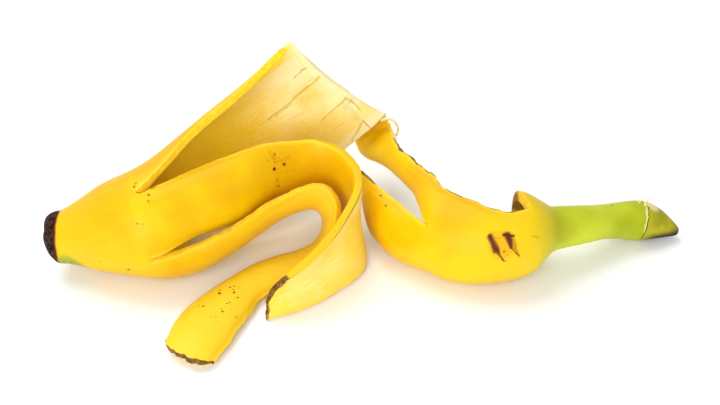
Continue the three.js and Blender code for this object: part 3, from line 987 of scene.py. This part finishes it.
# each crack: start, end, and its reach there; Y is 0 because they are drawn seen along Y
CRACKS = [
    ((-16.6, 0, 45.3), (-33.8, 0, 29.7), 0.26, 0.16),
    ((-7.6, 0, 35.6), (-15.5, 0, 28.4), 0.26, 0.14),
    ((-7.6, 0, 35.6), (-2.3, 0, 29.8), 0.2, 0.12),
    ((-2.6, 0, 26.0), (-5.4, 0, 19.5), 0.22, 0.12),
    ((-20.5, 0, 50.0), (-24.5, 0, 46.5), 0.16, 0.1),
    ((-24.0, 0, 38.0), (-31.0, 0, 31.0), 0.14, 0.1),
]
# the cracks are drawn as thin olive brown lines, each in a paler halo
for start, end, wide, thin in CRACKS:
    colour = stroke(tree, colour, "#E6C85C", facing, start, end, 4 * wide, 4 * thin, on_tall_strip)
    colour = stroke(tree, colour, "#A3861A", facing, start, end, wide, thin, on_tall_strip)
line_strength = add(tree, "Math", {0: lined, 1: 0.85}, operation="MULTIPLY")
colour = coat(tree, colour, "#5E5212", edge, 1.5, 0.6, line_strength)
dried_more = add(tree, "TexNoise", {"Vector": mm, "Scale": 1 / 2.5, "Detail": 3.0})
dry_edge = add(tree, "Math", {0: dried, 1: dried_more}, operation="ADD")
browned = coat(tree, linear("#452610"), "#B98E42", grain, 0.42, 0.6)
colour = coat(tree, colour, browned, dry_edge, 1.05, 1.45)
# dark brown inside the collar's notch, deepened as painted shade of its trough
colour = coat(tree, colour, "#4A2A0C", near(tree, mm, (48.4, 3, 20), 3, 7), 0, 1, 0.8)
end_corner = near(tree, mm, (-27, -30.5, 14), 2, 7)
colour = coat(tree, colour, "#5A3406", freckles(tree, mm, 1.6, 0.5, 0.5), 0, 1, end_corner)
print("cracks:", len(CRACKS))

# %% Pith surface
combed_bump = add(tree, "Bump", {"Height": threads, "Strength": 0.5, "Distance": 0.0008})
rib_bump = add(
    tree, "Bump", {"Height": ribs, "Strength": 0.15, "Distance": 0.001, "Normal": combed_bump}
)
grain_bump = add(
    tree, "Bump", {"Height": grain, "Strength": 0.25, "Distance": 0.0005, "Normal": rib_bump}
)
show(tree, add(
    tree, "BsdfPrincipled",
    {"Base Color": colour, "Roughness": 0.72, "Normal": grain_bump, "IOR": 1.4,
     "Specular IOR Level": 0.2, "Subsurface Weight": 0.35,
     "Subsurface Radius": (1.0, 0.95, 0.3), "Subsurface Scale": 0.003},
))

# %% [markdown]
# ### Torn flesh
#
# The rim is freshly torn wall: yellow where the skin shines through, cream where the wall
# is thick at the folded end, moist and rough, and brown where it has dried. At the collar's
# notch it is dark brown, deepened with painted shade.

# %% Torn flesh
tree, mm = blank("torn_flesh")
dried = add(tree, "Attribute", attribute_name="dried", out="Fac")
lined = add(tree, "Attribute", attribute_name="lined", out="Fac")
y = add(tree, "SeparateXYZ", {0: mm}, 1)
torn_grain = add(tree, "TexNoise", {"Vector": mm, "Scale": 1 / 1.2, "Detail": 4.0, "Roughness": 0.7})
cloud = add(tree, "TexNoise", {"Vector": mm, "Scale": 1 / 6})
colour = coat(tree, linear("#ECB710"), "#F4CE38", torn_grain, 0.35, 0.7)
colour = coat(tree, colour, "#F7E7B0", y, 35, 38, 0.9)
colour = coat(tree, colour, "#E4B61C", lined, 0, 1, 0.9)
dry_edge = add(tree, "Math", {0: dried, 1: cloud}, operation="ADD")
browned = coat(tree, linear("#3E260E"), "#8A6428", torn_grain, 0.35, 0.65)
colour = coat(tree, colour, browned, dry_edge, 1.12, 1.4)
# dark brown inside the collar's notch, deepened as painted shade of its trough
colour = coat(tree, colour, "#4A2A0C", near(tree, mm, (48.4, 3, 20), 3, 7), 0, 1, 0.8)
torn_bump = add(tree, "Bump", {"Height": torn_grain, "Strength": 0.4, "Distance": 0.0008})
show(tree, add(
    tree, "BsdfPrincipled",
    {"Base Color": colour, "Roughness": 0.6, "Normal": torn_bump, "IOR": 1.4,
     "Specular IOR Level": 0.2, "Subsurface Weight": 0.25,
     "Subsurface Radius": (1.0, 0.6, 0.15), "Subsurface Scale": 0.002},
))

# %% [markdown]
# ## Strings
#
# Peeling leaves strings: thin bundles of vessels that curl up as they dry. One loops out
# of the fold, and seven short ones fray from the break at the stem tip. Each is a curve
# with a round bevel that is turned into a mesh, because a string is thin, round and bent.
# Dry cellulose is matt and pale, with darker specks.

# %% Dry cellulose
bpy.data.materials.new("dry_cellulose")
tree, mm = blank("dry_cellulose")
specks = add(tree, "TexNoise", {"Vector": mm, "Scale": 1 / 1.5, "Detail": 3.0, "Roughness": 0.6})
colour = coat(tree, linear("#F6E6B0"), "#DDBB62", specks, 0.4, 0.7)
speck_bump = add(tree, "Bump", {"Height": specks, "Strength": 0.4, "Distance": 0.0004})
show(tree, add(
    tree, "BsdfPrincipled",
    {"Base Color": colour, "Roughness": 0.75, "Normal": speck_bump, "IOR": 1.4,
     "Specular IOR Level": 0.2, "Subsurface Weight": 0.2,
     "Subsurface Radius": (1.0, 0.7, 0.3), "Subsurface Scale": 0.001},
))

# %% Strings
def string(name, path, radius):
    """A tube through the points of a path in millimetres, half as thick at its end."""
    bpy.ops.object.select_all(action="DESELECT")
    bpy.ops.curve.primitive_nurbs_path_add()
    thread = bpy.context.active_object
    thread.name = name
    spline = thread.data.splines[0]
    spline.points.add(max(0, len(path) - len(spline.points)))
    for i, spline_point in enumerate(spline.points):
        spline_point.co = (*(np.array(path[min(i, len(path) - 1)]) * MM), 1)
        spline_point.radius = 1 - 0.5 * i / (len(path) - 1)
    spline.use_endpoint_u = True
    spline.order_u = 3
    spline.resolution_u = 5
    thread.data.bevel_depth = radius * MM
    thread.data.bevel_resolution = 2
    thread.data.use_fill_caps = True
    bpy.ops.object.convert(target="MESH")
    thread.data.materials.append(bpy.data.materials["dry_cellulose"])
    bpy.ops.object.shade_smooth()
    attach(thread, "root")


string("vessel_string", [
    (4.6, 46.4, 24.2), (6.5, 46.8, 24.8), (8.6, 47, 24.2), (10.2, 47, 22.4), (10.8, 47, 20),
    (10.3, 47, 17.8), (9, 47, 16.6), (7.6, 47.6, 17), (7, 48.4, 18.2),
], 0.55)
random = np.random.default_rng(5)
for i in range(7):
    root = np.array([89.5, 12.5, 12.2]) + random.uniform(-1, 1, 3) * (2.2, 1.5, 0.3)
    lean = np.array([0.6, 0.1, 1.0]) + random.uniform(-1, 1, 3) * (0.5, 0.5, 0.3)
    side = random.uniform(-0.8, 0.8, 3)
    steps = [(0, 0), (1, 0), (1.7, 1), (2.2, 2), (2.6, 2.5)]
    string(f"tip_fibre_{i}", [root + up * lean + out * side for up, out in steps], 0.3)
print("strings up to 1.1 mm thick")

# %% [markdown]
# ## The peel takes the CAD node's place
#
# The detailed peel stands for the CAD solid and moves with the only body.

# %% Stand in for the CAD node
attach(peel, "root")
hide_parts("banana_peel")
print("peel size, mm:", [round(v, 1) for v in peel.dimensions / MM])

# %% [markdown]
# ## Table, light and camera
#
# A pale table stands in a white room. One broad soft light hangs above and behind, and a
# second one fills in from the front, so the shadows are faint and soft. The camera looks
# down at 37 degrees through a slightly long lens, which keeps the near strips from
# looking too large.

# %% Table
TABLE_TOP = -0.0002  # a hair below the peel, so that their faces don't coincide
bpy.ops.object.select_all(action="DESELECT")
bpy.ops.mesh.primitive_plane_add(size=6, location=(0, 0, TABLE_TOP))
table = bpy.context.active_object
table.name = "table"
table.data.materials.append(bpy.data.materials.new("white_card"))
tree, _ = blank("white_card")
show(tree, add(tree, "BsdfPrincipled", {"Base Color": "#F7F7F8", "Roughness": 0.6}))
print("table:", table.dimensions[:])


# %% Light
def soft_light(name, place, size, power, target=(0, 0, 0.02)):
    """A round lamp of a size in metres and a power in watts, aimed at the target."""
    bpy.ops.object.light_add(type="AREA", location=place)
    light = bpy.context.active_object
    light.name = name
    light.data.shape = "DISK"
    light.data.size = size
    light.data.energy = power
    light.rotation_euler = (Vector(target) - Vector(place)).to_track_quat("-Z", "Y").to_euler()


soft_light("sky_light", (-0.35, 0.35, 0.95), 0.9, 7)
soft_light("front_light", (-0.25, -0.95, 0.5), 0.9, 10)
world = bpy.data.worlds.new("white_room")
bpy.context.scene.world = world
world.use_nodes = True
world.node_tree.nodes["Background"].inputs["Color"].default_value = (1, 1, 1, 1)
world.node_tree.nodes["Background"].inputs["Strength"].default_value = 0.6

# %% Camera
ELEVATION = math.radians(37)
DISTANCE = 0.416
target = Vector((to_cad[0], to_cad[1], 23)) * MM
back = Vector((0, -math.cos(ELEVATION), math.sin(ELEVATION)))
bpy.ops.object.camera_add(location=target + back * DISTANCE)
camera = bpy.context.active_object
camera.rotation_euler = (-back).to_track_quat("-Z", "Y").to_euler()
camera.data.lens = 65
camera.data.sensor_width = 36
camera.data.clip_start = 0.01
bpy.context.scene.camera = camera
bpy.context.scene.view_settings.view_transform = "Standard"
print("camera at", [round(v, 3) for v in camera.location])
